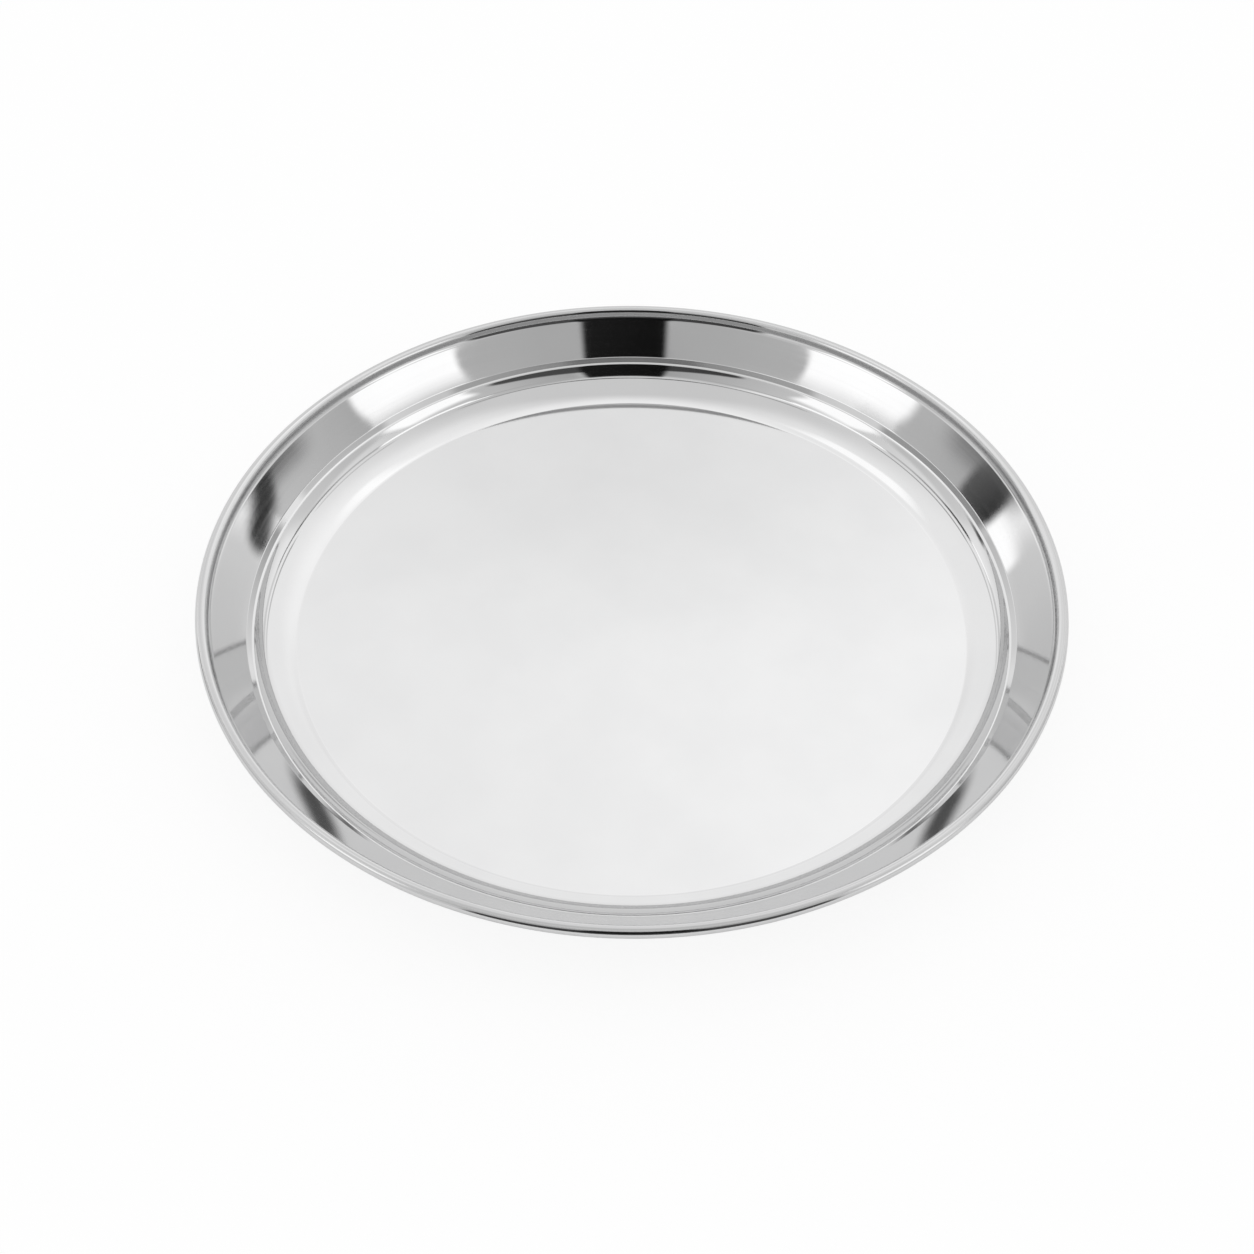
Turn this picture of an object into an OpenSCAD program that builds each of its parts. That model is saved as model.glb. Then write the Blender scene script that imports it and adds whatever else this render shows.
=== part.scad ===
// Round thali plate: one disc of sheet steel, pressed into a dish and curled over a hoop of wire at the rim.
// Lengths are in millimetres and angles in degrees. The plate stands on z = 0, centred on the z axis.

/* [Plate] */
// Diameter over the rolled rim
rim_d = 300; // [220:1:400]
// Height from the table to the top of the rim
plate_h = 27; // [24:0.5:45]
// Thickness of the sheet
sheet_t = 0.7; // [0.5:0.05:1]

/* [Cove] */
// Radius of the fold that edges the flat floor, on the inside of the plate
floor_fold_r = 4; // [2:0.5:8]
// Slope that the fold has reached where the cove takes over
floor_fold = 13.5; // [6:0.5:20]
// Radius of the hollow cove round the floor, on the inside of the plate
cove_r = 21; // [12:0.5:24]
// Slope that the cove has reached at its upper end
cove_slope = 57; // [50:1:68]

/* [Ledge] */
// Width of the straight part of the ledge, measured along the sheet
ledge_run = 0.2; // [0.1:0.1:3]
// Slope of the ledge
ledge_slope = 22; // [5:1:30]
// Radius of the rounded shoulder where the ledge drops into the cove, on the underside of the sheet
shoulder_r = 0.3; // [0.2:0.1:2]
// Radius of the fold where the wall rises from the ledge, on the inside of the plate
ledge_fold_r = 0.5; // [0.3:0.1:2]

/* [Wall] */
// Slope of the flared wall
wall_slope = 46.5; // [40:0.5:55]
// Length of the flatter foot of the wall, measured along the sheet
foot_run = 2; // [0.5:0.1:5]
// How much flatter than the wall its foot is
foot_ease = 4; // [1:0.5:8]
// Radius of the gentle bend between the foot and the wall, on the inside of the plate
foot_bend_r = 6; // [2:0.5:10]

/* [Rim] */
// Diameter of the wire hoop inside the rim
wire_d = 2.5; // [1.5:0.1:4]
// Clearance all round the wire in the curl
wire_play = 0.05; // [0.02:0.01:0.2]
// Gap between the two cut ends of the wire
wire_end_gap = 0.6; // [0.2:0.1:3]
// How far the sheet is turned round the wire
curl_turn = 300; // [240:1:304]
// Radius of the bend where the wall turns up into the rim, on the inside of the plate
turn_up_r = 3.5; // [1:0.1:5]

/* [Hidden] */

steel = [0.80, 0.80, 0.81];
wire_steel = [0.55, 0.56, 0.58];
$fn = 144;

half_t = sheet_t / 2;
foot_slope = wall_slope - foot_ease;

// How far inside the faces of the sheet the laps between its steps stay
lap_skin = 0.001;

// Radii of the bends, measured at the middle of the sheet
floor_fold_mid_r = floor_fold_r + half_t;
cove_mid_r = cove_r + half_t;
shoulder_mid_r = shoulder_r + half_t;
ledge_fold_mid_r = ledge_fold_r + half_t;
foot_bend_mid_r = foot_bend_r + half_t;
turn_up_mid_r = turn_up_r + half_t;
curl_mid_r = wire_d / 2 + wire_play + half_t;

// Centre of the rim's round section
bead_r = curl_mid_r + half_t;
bead_ring_r = rim_d / 2 - bead_r;
bead_z = plate_h - bead_r;

// What each bend adds to the radius and to the height, as [out, up], between two slopes
function bend_reach(r, from, to) =
    let (side = sign(to - from))
    side * r * [sin(to) - sin(from), cos(from) - cos(to)];

// What all the bends, the ledge and the foot add between the edge of the floor and the start of the curl
fixed_reach =
    bend_reach(floor_fold_mid_r, 0, floor_fold)
    + bend_reach(cove_mid_r, floor_fold, cove_slope)
    + bend_reach(shoulder_mid_r, cove_slope, ledge_slope)
    + ledge_run * [cos(ledge_slope), sin(ledge_slope)]
    + bend_reach(ledge_fold_mid_r, ledge_slope, foot_slope)
    + foot_run * [cos(foot_slope), sin(foot_slope)]
    + bend_reach(foot_bend_mid_r, foot_slope, wall_slope)
    + bend_reach(turn_up_mid_r, wall_slope, 90);

// The wall takes up the rest of the height, and the flat floor the rest of the radius
wall_run = (bead_z - half_t - fixed_reach[1]) / sin(wall_slope);
floor_r = bead_ring_r - curl_mid_r - fixed_reach[0] - wall_run * cos(wall_slope);

// The sheet from the middle of the floor to its cut edge inside the curl. A step is [length, 0] for a
// straight run, or [middle radius, turn] for a bend, and a positive turn is upwards.
sheet_steps = [
    [floor_r, 0],
    [floor_fold_mid_r, floor_fold],
    [cove_mid_r, cove_slope - floor_fold],
    [shoulder_mid_r, ledge_slope - cove_slope],
    [ledge_run, 0],
    [ledge_fold_mid_r, foot_slope - ledge_slope],
    [foot_run, 0],
    [foot_bend_mid_r, foot_ease],
    [wall_run, 0],
    [turn_up_mid_r, 90 - wall_slope],
    [curl_mid_r, -curl_turn]
];

// Everything ahead of the y axis, as far as a bend of that radius can reach
module ahead(r) {
    reach = 2 * (r + sheet_t);
    translate([0, -reach]) square([reach, 2 * reach]);
}

// The wedge that a bend leaves open, from where it ends round to where it starts
module open_wedge(r, turn) {
    intersection() {
        mirror([1, 0]) ahead(r);
        rotate(turn) ahead(r);
    }
}

// Section of the sheet round one bend, about the bend's own centre
module bend(r, turn) {
    if (abs(turn) > 180) {
        difference() {
            circle(r + half_t);
            circle(r - half_t);
            open_wedge(r, turn);
        }
    } else {
        intersection() {
            difference() {
                circle(r + half_t);
                circle(r - half_t);
            }
            ahead(r);
            rotate(turn) mirror([1, 0]) ahead(r);
        }
    }
}

// Diamond across the joint of two steps, just inside the sheet's faces, so that both steps overlap it
module joint_lap() {
    tip = half_t - lap_skin;
    polygon([[half_t, 0], [0, tip], [-half_t, 0], [0, -tip]]);
}

// Section of the sheet, followed step by step from the origin along x
module strip(steps, i = 0) {
    if (i < len(steps)) {
        size = steps[i][0];
        turn = steps[i][1];
        centre = [0, sign(turn) * size];
        if (i > 0) joint_lap();
        if (turn == 0) {
            translate([0, -half_t]) square([size, sheet_t]);
            translate([size, 0]) strip(steps, i + 1);
        } else {
            translate(centre) bend(size, turn);
            translate(centre) rotate(turn) translate(-centre) strip(steps, i + 1);
        }
    }
}

// The plate itself: floor, cove, ledge, wall and curled rim in one sheet
module pressed_dish() {
    color(steel)
    rotate_extrude()
    translate([0, half_t])
    strip(sheet_steps);
}

// The hoop of wire that the rim is curled round, open by a small gap between its cut ends
module rim_wire() {
    gap_angle = wire_end_gap / bead_ring_r * 180 / PI;
    color(wire_steel)
    rotate(90 + gap_angle / 2)
    rotate_extrude(angle = 360 - gap_angle)
    translate([bead_ring_r, bead_z])
    circle(wire_d / 2);
}

pressed_dish();
rim_wire();
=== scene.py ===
import math

import bmesh
import bpy
from mathutils import Matrix, Vector


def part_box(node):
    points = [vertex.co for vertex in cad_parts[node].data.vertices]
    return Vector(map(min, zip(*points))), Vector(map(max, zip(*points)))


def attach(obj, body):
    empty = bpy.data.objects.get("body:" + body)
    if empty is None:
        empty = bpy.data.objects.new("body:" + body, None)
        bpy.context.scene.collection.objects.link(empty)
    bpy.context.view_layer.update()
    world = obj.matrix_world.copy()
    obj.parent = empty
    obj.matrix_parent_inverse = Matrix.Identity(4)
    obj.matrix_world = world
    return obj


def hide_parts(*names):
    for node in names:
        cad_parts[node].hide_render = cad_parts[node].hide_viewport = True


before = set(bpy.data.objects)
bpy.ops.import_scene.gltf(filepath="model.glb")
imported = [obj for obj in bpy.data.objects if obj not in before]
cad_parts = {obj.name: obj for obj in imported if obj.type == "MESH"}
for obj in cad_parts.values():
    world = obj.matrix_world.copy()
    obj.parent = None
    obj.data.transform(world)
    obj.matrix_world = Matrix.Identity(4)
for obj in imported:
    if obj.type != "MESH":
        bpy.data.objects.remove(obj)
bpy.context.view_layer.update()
print("frame loaded:", sorted(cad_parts))

scene = bpy.context.scene
scene.view_settings.view_transform = "Standard"

mm = 0.001


def addPiece(name, bm):
    mesh = bpy.data.meshes.new(name)
    bm.to_mesh(mesh)
    bm.free()
    piece = bpy.data.objects.new(name, mesh)
    scene.collection.objects.link(piece)
    return piece


# Pressed dish: the sheet's middle line is walked outwards from the axis, then spun and given its thickness.
# Slopes and turns are in degrees, and radii are those on the inside of each bend.
dish = {
    "sheet": 0.7 * mm,
    "floorFoldRadius": 4.0 * mm,
    "floorFold": 13.5,
    "coveRadius": 21.0 * mm,
    "coveSlope": 57,
    "shoulderRadius": 0.3 * mm,
    "ledgeRun": 0.2 * mm,
    "ledgeSlope": 22,
    "foldRadius": 0.5 * mm,
    "footRun": 2.0 * mm,
    "footEase": 4,          # how much flatter the wall's foot is
    "footBendRadius": 6.0 * mm,
    "wallSlope": 46.5,
    "turnUpRadius": 3.5 * mm,
    "beadDiameter": 4.0 * mm,
    "curlTurn": 300,
    "turns": 320,           # faces round the plate
    "cuts": {               # faces along each part of the middle line
        "floor": 8, "floorFold": 6, "cove": 24, "shoulder": 8, "ledge": 2, "fold": 6,
        "foot": 2, "footBend": 3, "wall": 6, "turnUp": 16, "curl": 48,
    },
    "flatEnd": 0.1 * mm,    # short step at both ends of a straight run
    "merge": 0.001 * mm,
}


def walkStraight(bm, tip, heading, length, steps):
    # short steps at both ends keep the straight run flat next to its bends
    end = min(dish["flatEnd"], length / 4)
    along = Vector((math.cos(heading), 0, math.sin(heading)))
    for run in [end] + [(length - 2 * end) / steps] * steps + [end]:
        step = bmesh.ops.extrude_vert_indiv(bm, verts=[tip])
        tip = step["verts"][0]
        bmesh.ops.translate(bm, verts=[tip], vec=along * run)
    return tip


def walkBend(bm, tip, heading, radius, turn, steps):
    # a positive turn is upwards, about a centre on the left of the heading
    side = math.copysign(1, turn)
    left = Vector((-math.sin(heading), 0, math.cos(heading)))
    spun = bmesh.ops.spin(bm, geom=[tip], cent=tip.co + left * side * radius, axis=(0, -1, 0),
                          angle=turn, steps=steps, use_merge=False, use_duplicate=False)
    ends = [v for v in spun["geom_last"] if isinstance(v, bmesh.types.BMVert)]
    return ends[0], heading + turn


def bendReach(radius, a, b):
    # what a bend between two slopes adds to the radius and to the height
    side = math.copysign(1, b - a)
    return Vector((math.sin(b) - math.sin(a), math.cos(a) - math.cos(b))) * radius * side


def runReach(length, slope):
    return Vector((math.cos(slope), math.sin(slope))) * length


def makeDish(rimRadius, height):
    d = dish
    cuts = d["cuts"]
    half = d["sheet"] / 2
    floorFold = d["floorFoldRadius"] + half
    cove = d["coveRadius"] + half
    shoulder = d["shoulderRadius"] + half
    fold = d["foldRadius"] + half
    footBend = d["footBendRadius"] + half
    turnUp = d["turnUpRadius"] + half
    curl = d["beadDiameter"] / 2 - half
    floorTurn = math.radians(d["floorFold"])
    coveSlope = math.radians(d["coveSlope"])
    ledgeSlope = math.radians(d["ledgeSlope"])
    wallSlope = math.radians(d["wallSlope"])
    footSlope = math.radians(d["wallSlope"] - d["footEase"])
    upright = math.pi / 2

    # the wall takes up the rest of the height, and the flat floor the rest of the radius
    fixed = bendReach(floorFold, 0, floorTurn) + bendReach(cove, floorTurn, coveSlope)
    fixed += bendReach(shoulder, coveSlope, ledgeSlope)
    fixed += runReach(d["ledgeRun"], ledgeSlope)
    fixed += bendReach(fold, ledgeSlope, footSlope)
    fixed += runReach(d["footRun"], footSlope)
    fixed += bendReach(footBend, footSlope, wallSlope) + bendReach(turnUp, wallSlope, upright)
    beadRing = rimRadius - d["beadDiameter"] / 2
    beadHeight = height - d["beadDiameter"] / 2
    wallRun = (beadHeight - half - fixed.y) / math.sin(wallSlope)
    floorRadius = beadRing - curl - fixed.x - wallRun * math.cos(wallSlope)

    bm = bmesh.new()
    tip = bm.verts.new((0, 0, half))
    tip = walkStraight(bm, tip, 0, floorRadius, cuts["floor"])
    tip, heading = walkBend(bm, tip, 0, floorFold, floorTurn, cuts["floorFold"])
    tip, heading = walkBend(bm, tip, heading, cove, coveSlope - floorTurn, cuts["cove"])
    tip, heading = walkBend(bm, tip, heading, shoulder, ledgeSlope - coveSlope, cuts["shoulder"])
    tip = walkStraight(bm, tip, heading, d["ledgeRun"], cuts["ledge"])
    tip, heading = walkBend(bm, tip, heading, fold, footSlope - ledgeSlope, cuts["fold"])
    tip = walkStraight(bm, tip, heading, d["footRun"], cuts["foot"])
    tip, heading = walkBend(bm, tip, heading, footBend, wallSlope - footSlope, cuts["footBend"])
    tip = walkStraight(bm, tip, heading, wallRun, cuts["wall"])
    tip, heading = walkBend(bm, tip, heading, turnUp, upright - wallSlope, cuts["turnUp"])
    walkBend(bm, tip, heading, curl, -math.radians(d["curlTurn"]), cuts["curl"])

    bmesh.ops.spin(bm, geom=bm.verts[:] + bm.edges[:], cent=(0, 0, 0), axis=(0, 0, 1),
                   angle=math.tau, steps=d["turns"], use_merge=True, use_duplicate=False)
    bmesh.ops.remove_doubles(bm, verts=bm.verts, dist=d["merge"])
    bmesh.ops.recalc_face_normals(bm, faces=bm.faces)
    for face in bm.faces:
        face.smooth = True
    piece = addPiece("polished_dish", bm)
    wall = piece.modifiers.new("sheet", "SOLIDIFY")
    wall.thickness = d["sheet"]
    wall.offset = 0
    wall.use_even_offset = True
    return piece


low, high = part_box("pressed_dish")
plate = makeDish((high.x - low.x + high.y - low.y) / 4, high.z)
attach(plate, "root")
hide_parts("pressed_dish")
print("dish spun:", len(plate.data.polygons), "faces")


# Materials: small helpers first, then one function for each metal

def addNode(tree, kind, **settings):
    node = tree.nodes.new(kind)
    for name, value in settings.items():
        setattr(node, name, value)
    return node


def feed(tree, socket, value):
    # a socket is linked, and a plain number or vector is set
    if isinstance(value, bpy.types.NodeSocket):
        tree.links.new(value, socket)
    else:
        socket.default_value = value


def numberMath(tree, operation, *values):
    node = addNode(tree, "ShaderNodeMath", operation=operation)
    for socket, value in zip(node.inputs, values):
        feed(tree, socket, value)
    return node.outputs[0]


def vectorMath(tree, operation, *values):
    node = addNode(tree, "ShaderNodeVectorMath", operation=operation)
    for socket, value in zip(node.inputs, values):
        feed(tree, socket, value)
    return node.outputs["Value" if operation in ("LENGTH", "DOT_PRODUCT") else "Vector"]


def splitVector(tree, vector):
    node = addNode(tree, "ShaderNodeSeparateXYZ")
    tree.links.new(vector, node.inputs[0])
    return node.outputs


def newMaterial(name):
    material = bpy.data.materials.new(name)
    material.use_nodes = True
    tree = material.node_tree
    tree.nodes.clear()
    return material, tree, addNode(tree, "ShaderNodeOutputMaterial")


def noise(tree, vector, scale, detail, roughness=0.5):
    node = addNode(tree, "ShaderNodeTexNoise")
    node.inputs["Scale"].default_value = scale
    node.inputs["Detail"].default_value = detail
    node.inputs["Roughness"].default_value = roughness
    tree.links.new(vector, node.inputs["Vector"])
    return node.outputs["Fac"]


def ramp(tree, value, low, high, a, b, smooth=False):
    node = addNode(tree, "ShaderNodeMapRange")
    node.interpolation_type = "SMOOTHSTEP" if smooth else "LINEAR"
    for socket, number in zip(node.inputs[1:5], (low, high, a, b)):
        socket.default_value = number
    tree.links.new(value, node.inputs["Value"])
    return node.outputs["Result"]


def mixColour(tree, fac, a, b, blend="MIX"):
    node = addNode(tree, "ShaderNodeMix", data_type="RGBA", blend_type=blend)
    for place, value in ((0, fac), (6, a), (7, b)):     # factor and the two colours
        feed(tree, node.inputs[place], value)
    return node.outputs[2]


def bump(tree, height, distance, normal=None):
    node = addNode(tree, "ShaderNodeBump")
    node.inputs["Strength"].default_value = 1
    node.inputs["Distance"].default_value = distance
    tree.links.new(height, node.inputs["Height"])
    if normal:
        tree.links.new(normal, node.inputs["Normal"])
    return node.outputs["Normal"]


def setMetal(tree, out, colour, roughness, normal):
    shader = addNode(tree, "ShaderNodeBsdfPrincipled")
    shader.inputs["Metallic"].default_value = 1
    tree.links.new(colour, shader.inputs["Base Color"])
    tree.links.new(roughness, shader.inputs["Roughness"])
    tree.links.new(normal, shader.inputs["Normal"])
    tree.links.new(shader.outputs[0], out.inputs["Surface"])


steel = {
    "pale": (0.816, 0.816, 0.818, 1),
    "dull": (0.792, 0.792, 0.795, 1),
    "sheen": (0.032, 0.055),                # roughness of the polish, which changes from ring to ring
    "rim": (146.1 * mm, 146.4 * mm),        # where the rim's plainer polish and its painted shade set in
    "rimShade": 0.92,
    "rimSheen": 0.05,                       # added to the roughness there
    "crownShade": (148.1 * mm, 1.1 * mm, 0.82),  # middle, half width and strength of a band of painted shade on top of the rim
    "creaseShade": (145.95 * mm, 0.32 * mm, 0.52),   # the same for a thin line of painted shade in the bend up to the bead
    "buffing": 900,                         # rings of the polishing wheel to the metre
    "buffingNoise": (1.0, 4.0, 0.6),        # scale, detail and roughness
    "buffingSpan": (0.3, 0.7),
    "buffingDepth": 0.00007 * mm,
    "worn": (30, 3.0),                      # scale and detail of the change of tone
    "wornSpan": (0.35, 0.65),
    "waves": (22, 1.0),                     # slow unevenness of the pressed sheet
    "waveDepth": 0.004 * mm,
}


def makeSteel():
    d = steel
    material, tree, out = newMaterial("polished_steel")
    place = addNode(tree, "ShaderNodeTexCoord").outputs["Object"]
    flat = vectorMath(tree, "MULTIPLY", place, (1, 1, 0))
    radius = vectorMath(tree, "LENGTH", flat)
    turn = splitVector(tree, vectorMath(tree, "NORMALIZE", flat))

    # the rings of the wheel: noise that changes quickly with the radius and slowly round the plate
    sweep = addNode(tree, "ShaderNodeCombineXYZ")
    rings = numberMath(tree, "MULTIPLY", radius, d["buffing"])
    for socket, value in zip(sweep.inputs, (turn[0], turn[1], rings)):
        tree.links.new(value, socket)
    buffing = noise(tree, sweep.outputs[0], *d["buffingNoise"])

    # a band of painted shade, darkest at its middle
    def band(middle, half, shade):
        away = numberMath(tree, "ABSOLUTE", numberMath(tree, "SUBTRACT", radius, middle))
        return ramp(tree, away, 0, half, shade, 1, True)

    # painted shade: the rim's colour is darkened, most on top of the rim and in the bend up to it
    shade = ramp(tree, radius, *d["rim"], 1, d["rimShade"])
    for ring in (d["crownShade"], d["creaseShade"]):
        shade = numberMath(tree, "MULTIPLY", shade, band(*ring))
    worn = ramp(tree, noise(tree, place, *d["worn"]), *d["wornSpan"], 0, 1)
    tone = mixColour(tree, 1, mixColour(tree, worn, d["dull"], d["pale"]), shade, "MULTIPLY")
    sheen = ramp(tree, buffing, *d["buffingSpan"], *d["sheen"])
    rimSheen = ramp(tree, radius, *d["rim"], 0, d["rimSheen"])
    uneven = bump(tree, noise(tree, place, *d["waves"]), d["waveDepth"])
    setMetal(tree, out, tone, numberMath(tree, "ADD", sheen, rimSheen),
             bump(tree, buffing, d["buffingDepth"], uneven))
    return material


wire = {
    "pale": (0.6, 0.61, 0.63, 1),
    "dull": (0.48, 0.49, 0.51, 1),
    "sheen": (0.28, 0.42),
    "drawn": (140, 4.0, 0.65),      # scale, detail and roughness of the drawing marks
    "toneSpan": (0.35, 0.65),
    "sheenSpan": (0.3, 0.7),
    "pits": (900, 2.0),             # scale and detail
    "pitDepth": 0.02 * mm,
}


def makeWire():
    d = wire
    material, tree, out = newMaterial("drawn_wire")
    place = addNode(tree, "ShaderNodeTexCoord").outputs["Object"]
    drawn = noise(tree, place, *d["drawn"])
    tone = mixColour(tree, ramp(tree, drawn, *d["toneSpan"], 0, 1), d["dull"], d["pale"])
    setMetal(tree, out, tone, ramp(tree, drawn, *d["sheenSpan"], *d["sheen"]),
             bump(tree, noise(tree, place, *d["pits"]), d["pitDepth"]))
    return material


plate.data.materials.append(makeSteel())
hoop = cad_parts["rim_wire"]
hoop.data.materials.clear()
hoop.data.materials.append(makeWire())
print("materials set")


# Studio: a white floor, a pale room, and cards that only the steel sees

def mixShaders(tree, fac, a, b):
    node = addNode(tree, "ShaderNodeMixShader")
    for socket, value in zip(node.inputs, (fac, a, b)):
        tree.links.new(value, socket)
    return node.outputs[0]


def lookByRay(tree, seen, mirrored, other):
    # one look for the camera, one for mirrors, and one for the rest of the light
    path = addNode(tree, "ShaderNodeLightPath").outputs
    mirror = numberMath(tree, "MAXIMUM", path["Is Glossy Ray"], path["Is Transmission Ray"])
    return mixShaders(tree, path["Is Camera Ray"], mixShaders(tree, mirror, other, mirrored), seen)


floor = {
    "halfWidth": 6.0,
    "colour": (0.9, 0.9, 0.9),
    "seen": (0.865, 0.15),          # glow, and share of lit paint that keeps the plate's shadow
    "mirrored": (0.1, 0.85),
    "other": (0, 1),
}


def makeFloor():
    d = floor
    bm = bmesh.new()
    bmesh.ops.create_grid(bm, x_segments=1, y_segments=1, size=d["halfWidth"])
    ground = addPiece("floor", bm)
    material, tree, out = newMaterial("floor")

    def look(glow, share):
        lit = addNode(tree, "ShaderNodeEmission")
        lit.inputs["Strength"].default_value = glow
        paint = addNode(tree, "ShaderNodeBsdfDiffuse")
        paint.inputs["Color"].default_value = tuple(c * share for c in d["colour"]) + (1,)
        both = addNode(tree, "ShaderNodeAddShader")
        tree.links.new(lit.outputs[0], both.inputs[0])
        tree.links.new(paint.outputs[0], both.inputs[1])
        return both.outputs[0]

    looks = (look(*d[word]) for word in ("seen", "mirrored", "other"))
    tree.links.new(lookByRay(tree, *looks), out.inputs["Surface"])
    ground.data.materials.append(material)


# "front" and "back" are what mirrors see of the walls, and "light" is what lights the floor
room = {"front": 0.7, "back": 0.8, "towardBack": (0, 0.95, 0.3), "span": (0.3, 1), "light": 0.95, "white": 1}


def makeRoom():
    d = room
    world = bpy.data.worlds.new("room")
    scene.world = world
    world.use_nodes = True
    tree = world.node_tree
    tree.nodes.clear()
    out = addNode(tree, "ShaderNodeOutputWorld")

    def backdrop(strength):
        node = addNode(tree, "ShaderNodeBackground")
        node.inputs["Color"].default_value = (1, 1, 1, 1)
        feed(tree, node.inputs["Strength"], strength)
        return node.outputs[0]

    place = addNode(tree, "ShaderNodeTexCoord").outputs["Generated"]
    facing = vectorMath(tree, "DOT_PRODUCT", place, d["towardBack"])
    walls = ramp(tree, facing, *d["span"], d["front"], d["back"], True)
    looks = (backdrop(strength) for strength in (d["white"], walls, d["light"]))
    tree.links.new(lookByRay(tree, *looks), out.inputs["Surface"])


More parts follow.
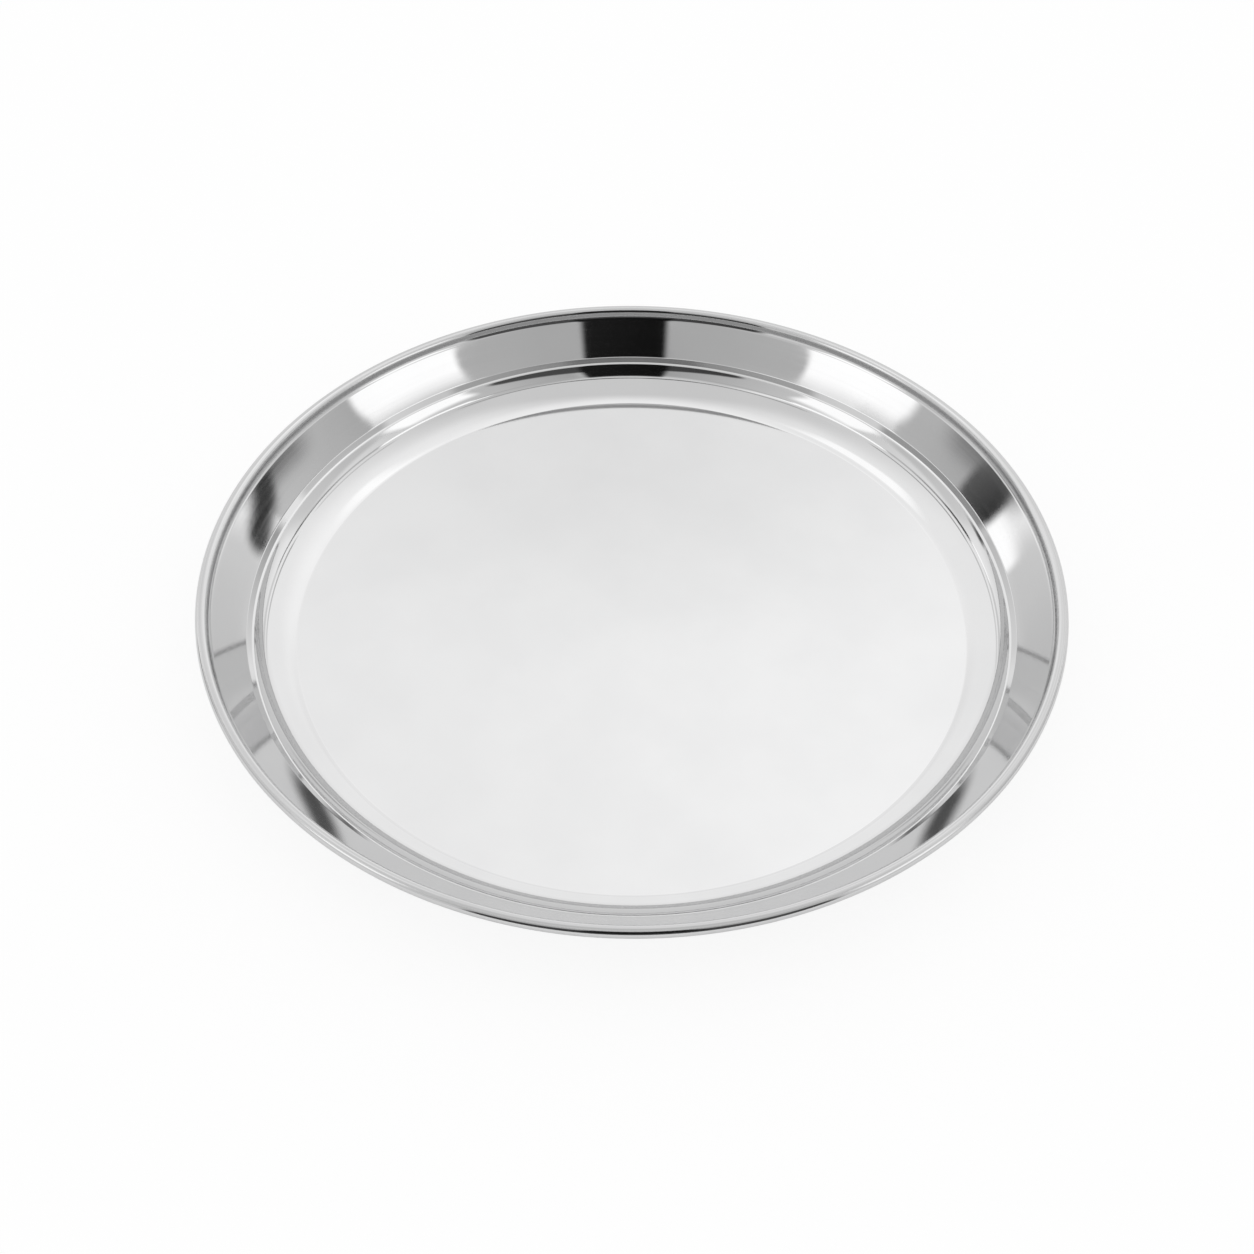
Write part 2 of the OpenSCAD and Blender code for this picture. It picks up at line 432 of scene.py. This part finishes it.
# A card covers a range of bearings and heights, in degrees as seen from the plate: bearing 0 is behind it,
# 90 on its right and 180 at the camera. Its glow runs from its first bearing to its second. It rises between
# them, bows up in the middle, and leans from its foot to its top. Its edges fade over the share "soft" of its
# corners. Earlier cards stand in front of later ones, and only the first mirror image shows them.
cards = [
    # in front, with the ribbons that the wall and its foot see
    {"name": "slit", "bearing": (162, 192), "height": (17, 55),
     "glow": (0.012, 0.004), "corner": (3, 3), "soft": 0.9},
    {"name": "front_board", "bearing": (134, 216), "height": (-35, 31), "bow": 12,
     "glow": (0.08, 0.05), "corner": (6, 5), "soft": 0.7},
    {"name": "wall_panel_right", "bearing": (123, 170), "height": (46.5, 48.9), "rise": 5.9, "bow": 1.05,
     "glow": (0.49, 0.46), "corner": (7, 1.2), "soft": 0.35},
    {"name": "wall_panel_left", "bearing": (-170, -123.7), "height": (46.5, 48.9), "rise": -5.8, "bow": 1.05,
     "glow": (0.46, 0.5), "corner": (7, 1.2), "soft": 0.35},
    {"name": "wall_box_right", "bearing": (92.6, 132), "height": (40.1, 43.5), "rise": 10.9, "bow": 0.9,
     "glow": (1.24, 1.24), "corner": (6, 1.3), "soft": 0.4},
    {"name": "wall_box_left", "bearing": (-132, -92), "height": (40.0, 43.4), "rise": -11.1, "bow": 0.95,
     "glow": (1.24, 1.24), "corner": (7, 1.3), "soft": 0.5},
    {"name": "foot_middle", "bearing": (152, 208), "height": (55.3, 57.6), "bow": 1.6,
     "glow": (0.17, 0.17), "corner": (10, 0.9), "soft": 0.8},
    {"name": "foot_panel_right", "bearing": (114, 178), "height": (52.6, 55.1), "rise": 8.4, "bow": 1.95,
     "glow": (0.44, 0.16), "corner": (6, 0.9), "soft": 0.8},
    {"name": "foot_panel_left", "bearing": (-178, -114), "height": (52.6, 55.1), "rise": -8.4, "bow": 1.95,
     "glow": (0.18, 0.44), "corner": (6, 0.9), "soft": 0.8},

    # at the sides and low behind, for the wall and its foot
    {"name": "foot_side_right", "bearing": (66, 97), "height": (35.9, 38.2), "rise": 14.1, "bow": 0.75,
     "glow": (0.66, 0.48), "corner": (5, 0.9), "soft": 0.8},
    {"name": "foot_side_left", "bearing": (-97, -58), "height": (33.6, 36), "rise": -18.6, "bow": 1.2,
     "glow": (0.38, 0.3), "corner": (5, 0.9), "soft": 0.8},
    {"name": "foot_low_right", "bearing": (30, 62), "height": (15.0, 18.0), "rise": 22.3, "bow": 0.8,
     "glow": (0.85, 0.3), "corner": (6, 1.2), "soft": 0.8},
    {"name": "foot_low_left", "bearing": (-62, -30), "height": (15.0, 18.0), "rise": -22.3, "bow": 0.8,
     "glow": (0.55, 0.8), "corner": (6, 1.2), "soft": 0.8},
    {"name": "dark_right", "bearing": (51.5, 70.5), "height": (20.0, 21.7), "rise": 12.1,
     "glow": (0.01, 0.04), "corner": (6, 0.85), "soft": 0.6},
    {"name": "brow_right", "bearing": (57, 84), "height": (25.0, 27.2), "rise": 13.2, "bow": 0.55,
     "glow": (0.01, 0.3), "corner": (9, 1.1), "soft": 1.0},
    {"name": "dark_left", "bearing": (-75, -61), "height": (22.5, 26), "rise": -7.1, "bow": 0.15,
     "glow": (0.12, 0.01), "corner": (5, 1.6), "soft": 0.55},
    {"name": "brow_left", "bearing": (-88, -57), "height": (25.85, 28.05), "rise": -14.9, "bow": 0.65,
     "glow": (0.3, 0.03), "corner": (9, 1.1), "soft": 1.0},
    {"name": "wedge_left", "bearing": (-64, -50), "height": (16.6, 18.8), "rise": -8.6, "bow": 0.2,
     "glow": (1.25, 1.25), "corner": (3, 0.9), "soft": 0.8},
    {"name": "wall_side_right", "bearing": (62, 97), "height": (27.4, 31), "rise": 15.7, "bow": 0.9,
     "glow": (0.64, 0.45), "corner": (3, 1.5), "soft": 0.6},
    {"name": "wall_side_left", "bearing": (-97, -66), "height": (28.5, 32.1), "rise": -13.5, "bow": 0.7,
     "glow": (0.54, 0.45), "corner": (3, 1.5), "soft": 0.6},
    {"name": "wall_low_right", "bearing": (24, 58), "height": (6.1, 10.1), "rise": 22.5, "bow": 0.6,
     "glow": (0.6, 0.74), "corner": (8, 1.6), "soft": 0.8},
    {"name": "wall_low_left", "bearing": (-58, -24), "height": (6.1, 10.1), "rise": -22.5, "bow": 0.6,
     "glow": (0.74, 0.56), "corner": (8, 1.6), "soft": 0.8},

    # large ones further out, for the cove and the rim
    {"name": "box_right", "bearing": (102, 131), "height": (14, 41), "lean": 5,
     "glow": (1.22, 1.22), "corner": (5, 9), "soft": 0.9},
    {"name": "box_left", "bearing": (-130, -103), "height": (14, 43), "lean": -5,
     "glow": (1.22, 1.22), "corner": (5, 10), "soft": 0.9},
    {"name": "streak_left", "bearing": (-136, -116), "height": (38, 56), "lean": -40,
     "glow": (0.98, 0.98), "corner": (9, 6), "soft": 1.0},
    {"name": "panel_right", "bearing": (98, 168), "height": (24, 56),
     "glow": (0.76, 0.38), "corner": (12, 6), "soft": 0.8},
    {"name": "panel_left", "bearing": (-182, -99), "height": (24, 54),
     "glow": (0.34, 0.8), "corner": (12, 6), "soft": 0.8},
    {"name": "flag_right", "bearing": (60, 106), "height": (-2, 4),
     "glow": (0.1, 0.4), "corner": (6, 2), "soft": 0.8},
    {"name": "flag_left", "bearing": (-80, -60), "height": (-2, 10),
     "glow": (0.4, 0.02), "corner": (5, 4), "soft": 0.8},
    {"name": "side_right", "bearing": (60, 106), "height": (-2, 29),
     "glow": (0.75, 0.54), "corner": (12, 8), "soft": 0.9},
    {"name": "side_left", "bearing": (-106, -62), "height": (-2, 27),
     "glow": (0.55, 0.75), "corner": (12, 8), "soft": 0.9},

    # the bright back, which the floor of the plate mirrors
    {"name": "dim_back", "bearing": (-26, 22), "height": (30, 50),
     "glow": (0.9, 0.9), "corner": (24, 10), "soft": 1.0},
    {"name": "strip_left", "bearing": (-55, -20), "height": (53, 71),
     "glow": (1.2, 1.2), "corner": (10, 6), "soft": 0.9},
    {"name": "strip_right", "bearing": (5, 49), "height": (52.5, 63.5),
     "glow": (1.22, 1.22), "corner": (14, 6), "soft": 0.9},
    {"name": "glow_back", "bearing": (-32, 79), "height": (27, 77),
     "glow": (1.1, 1.06), "corner": (55, 25), "soft": 1.0},
    {"name": "wash", "bearing": (-120, 120), "height": (-4, 86),
     "glow": (0.96, 0.98), "corner": (70, 20), "soft": 1.0},
]

# Two small flags stand behind the plate. Their sizes are in millimetres, and only the second mirror image shows
# them, where the wall mirrors what the floor mirrors.
flags = [
    {"name": "small_flag_left", "across": (-63.5, -46), "behind": 150, "height": (36, 112), "lean": -36,
     "glow": (0.1, 0.1), "corner": (7, 28), "soft": 1.0},
    {"name": "small_flag_right", "across": (46, 63.5), "behind": 150, "height": (36, 112), "lean": 36,
     "glow": (0.1, 0.1), "corner": (7, 28), "soft": 1.0},
]

cardSetup = {
    "away": 4.9,            # metres to the first card
    "apart": 0.01,          # and from each card to the next
    "faces": (80, 32),      # fine enough that curved cards don't cut into each other
    "firstImage": 1.5,      # number of mirrors, between the first image and the second
}


def makeCard(card, place):
    upright = "behind" in card
    away = cardSetup["away"] + cardSetup["apart"] * place
    columns, rows = cardSetup["faces"]
    low, high = card["across" if upright else "bearing"]
    bottom, top = card["height"]
    rise, bow, lean = (card.get(word, 0) for word in ("rise", "bow", "lean"))
    bm = bmesh.new()
    shape = bm.loops.layers.uv.new("card")
    bmesh.ops.create_grid(bm, x_segments=columns, y_segments=rows, size=1)
    for face in bm.faces:
        for loop in face.loops:
            loop[shape].uv = loop.vert.co.xy
    for v in bm.verts:
        x, y = v.co.xy
        side = (low + high + (high - low) * x + lean * y) / 2
        height = (bottom + top + (top - bottom) * y + rise * x) / 2 + bow * (1 - x ** 2)
        if upright:
            v.co = Vector((side, card["behind"], height)) * mm
            continue
        side, height = math.radians(side), math.radians(height)
        level = math.cos(height)
        v.co = Vector((math.sin(side) * level, math.cos(side) * level, math.sin(height))) * away
    piece = addPiece(card["name"], bm)
    piece.visible_camera = False
    piece.visible_diffuse = False
    piece.visible_shadow = False

    # how far a spot is into the rounded corner, from 0 inside the card to 1 at its edge
    material, tree, out = newMaterial(card["name"])
    spot = addNode(tree, "ShaderNodeUVMap", uv_map="card").outputs["UV"]
    corner = Vector((card["corner"][0] * 2 / (high - low), card["corner"][1] * 2 / (top - bottom), 1))
    past = vectorMath(tree, "SUBTRACT", vectorMath(tree, "ABSOLUTE", spot), (1 - corner.x, 1 - corner.y, 0))
    share = vectorMath(tree, "DIVIDE", vectorMath(tree, "MAXIMUM", past, (0, 0, 0)), corner)
    mask = ramp(tree, vectorMath(tree, "LENGTH", share), 1 - card["soft"], 1, 1, 0, True)

    mirrors = addNode(tree, "ShaderNodeLightPath").outputs["Glossy Depth"]
    image = numberMath(tree, "GREATER_THAN" if upright else "LESS_THAN", mirrors, cardSetup["firstImage"])
    shown = numberMath(tree, "MULTIPLY", mask, image)
    glow = addNode(tree, "ShaderNodeEmission")
    strength = ramp(tree, splitVector(tree, spot)[0], -1, 1, *card["glow"])
    tree.links.new(strength, glow.inputs["Strength"])
    clear = addNode(tree, "ShaderNodeBsdfTransparent")
    tree.links.new(mixShaders(tree, shown, clear.outputs[0], glow.outputs[0]), out.inputs["Surface"])
    piece.data.materials.append(material)
    return piece


makeFloor()
makeRoom()
for place, card in enumerate(cards + flags):
    makeCard(card, place)
print("studio set:", len(cards), "cards and", len(flags), "flags")


# Camera: it stands in front of the plate and looks down at it
camera = {
    "distance": 0.6,        # from the middle of the rim
    "rimHeight": 0.025,
    "elevation": 45.242,    # degrees, as are the next three
    "lookDown": 47.165,
    "turnRight": -0.150,
    "roll": 0.4565,
    "sensor": 36,
    "focalPixels": 1721.0,
    "imagePixels": 1254,
}


def makeCamera():
    c = camera
    elevation = math.radians(c["elevation"])
    data = bpy.data.cameras.new("camera")
    data.sensor_width = c["sensor"]
    data.lens = data.sensor_width * c["focalPixels"] / c["imagePixels"]
    piece = bpy.data.objects.new("camera", data)
    scene.collection.objects.link(piece)
    place = Vector((0, -math.cos(elevation), math.sin(elevation))) * c["distance"]
    place.z += c["rimHeight"]
    piece.matrix_world = (Matrix.Translation(place)
                          @ Matrix.Rotation(math.radians(90 - c["lookDown"]), 4, "X")
                          @ Matrix.Rotation(math.radians(-c["turnRight"]), 4, "Y")
                          @ Matrix.Rotation(math.radians(c["roll"]), 4, "Z"))
    scene.camera = piece


makeCamera()
print("camera placed")
